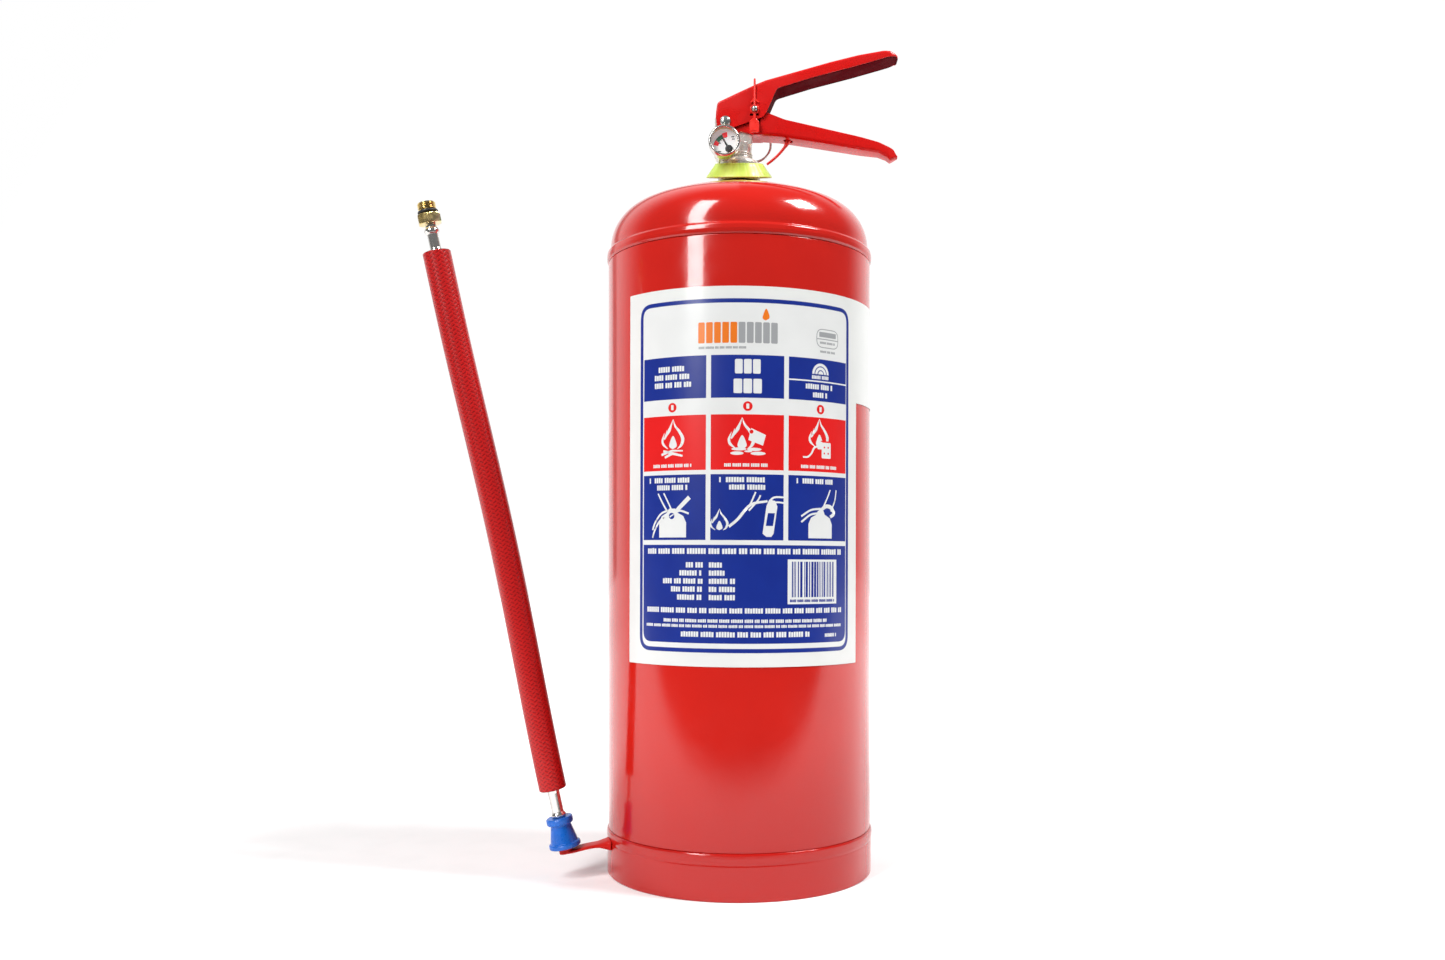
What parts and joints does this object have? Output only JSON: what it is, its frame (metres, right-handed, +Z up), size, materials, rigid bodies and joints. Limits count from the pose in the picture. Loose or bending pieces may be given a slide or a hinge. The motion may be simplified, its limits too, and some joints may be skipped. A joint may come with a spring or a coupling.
{
  "type": "fire extinguisher",
  "caption": "Red stored-pressure dry powder fire extinguisher with squeeze lever, gauge and safety pin; its hose stands detached on a foot holder.",
  "frame": {"origin": "on the floor plane, under the middle of the box round the cylinder, its lever and its nozzle holder; the cylinder's axis stands 8.7 mm towards +X of it", "axes": "+Z up along the cylinder, -Y towards the gauge side, +X towards the grips' tips"},
  "size_m": [0.3191, 0.1826, 0.5623],
  "materials": {
    "red_paint": "gloss",
    "label_film": "satin print",
    "plated_brass": "nickel plated",
    "bright_chrome": "polished",
    "plain_brass": "machined",
    "spring_steel": "bright",
    "lime_plastic": "satin",
    "seal_plastic": "satin",
    "black_rubber": "matt",
    "dip_tube_plastic": "matt",
    "dry_powder": "powder",
    "dial_print": "printed",
    "gauge_glass": "clear",
    "black_paint": "matt",
    "woven_hose": "woven cover",
    "blue_plastic": "satin",
    "yellow_zinc": "yellow passivated"
  },
  "bodies": {
    "cylinder": {"body_tube": "red_paint", "top_dome": "red_paint", "bottom_dome": "red_paint", "foot_ring": "red_paint", "neck_boss": "red_paint", "powder_charge": "dry_powder", "label": "label_film", "valve_body": "plated_brass", "service_collar": "lime_plastic", "valve_spring": "spring_steel", "dip_tube_adapter": "plain_brass", "dip_tube": "dip_tube_plastic", "neck_o_ring": "black_rubber", "lower_handle": "red_paint", "lever_rivet": "bright_chrome", "handle_rivet": "bright_chrome", "seal_tail": "seal_plastic", "gauge_case": "bright_chrome", "gauge_bezel": "bright_chrome", "gauge_lens": "gauge_glass", "gauge_seal": "black_rubber", "gauge_dial": "dial_print", "bourdon_tube": "plain_brass", "nozzle_holder": "red_paint"},
    "lever": {"upper_lever": "red_paint", "tamper_seal": "seal_plastic"},
    "stem": {"valve_stem": "plain_brass", "stem_seal": "black_rubber", "stem_o_ring": "black_rubber"},
    "pin": {"safety_pin": "bright_chrome"},
    "ring": {"pull_ring": "bright_chrome"},
    "needle": {"gauge_needle": "black_paint"},
    "hose_set": {"hose": "woven_hose", "nozzle": "blue_plastic", "lower_hose_tube": "bright_chrome", "upper_hose_tube": "bright_chrome"},
    "fitting": {"swivel_fitting": "yellow_zinc", "fitting_o_ring": "black_rubber"}
  },
  "joints": [
    {"name": "lever_squeeze", "type": "hinge", "parent": "cylinder", "child": "lever", "pos_m": [-0.0008, 0, 0.5133], "axis": [0, 1, 0], "range_deg": [0, 18], "stiffness_Nm_per_rad": 0.8, "springref_deg": -14.32},
    {"name": "stem_press", "type": "slide", "parent": "cylinder", "child": "stem", "axis": [0, 0, -1], "range_m": [0, 0.0046], "deforming": ["valve_spring"]},
    {"name": "pin_pull", "type": "slide", "parent": "lever", "child": "pin", "axis": [0, 1, 0], "range_m": [0, 0.032]},
    {"name": "ring_swing", "type": "hinge", "parent": "pin", "child": "ring", "pos_m": [0.0192, 0.026, 0.5211], "axis": [1, 0, 0], "range_deg": [-5, 90]},
    {"name": "needle_turn", "type": "hinge", "parent": "cylinder", "child": "needle", "pos_m": [0.00185, -0.0226, 0.4903], "axis": [0, 1, 0], "range_deg": [-46, 17], "stiffness_Nm_per_rad": 0.0002},
    {"name": "hose_lift", "type": "slide", "parent": "cylinder", "child": "hose_set", "axis": [-0.2025, -0.05, 0.978], "range_m": [0, 0.06]},
    {"name": "fitting_swivel", "type": "hinge", "parent": "hose_set", "child": "fitting", "pos_m": [-0.19174, -0.0541, 0.43061], "axis": [-0.2025, -0.05, 0.978], "continuous": true}
  ],
  "couplings": [
    {"joint": "stem_press", "follows": "lever_squeeze", "m_per_rad": 0.0144}
  ]
}
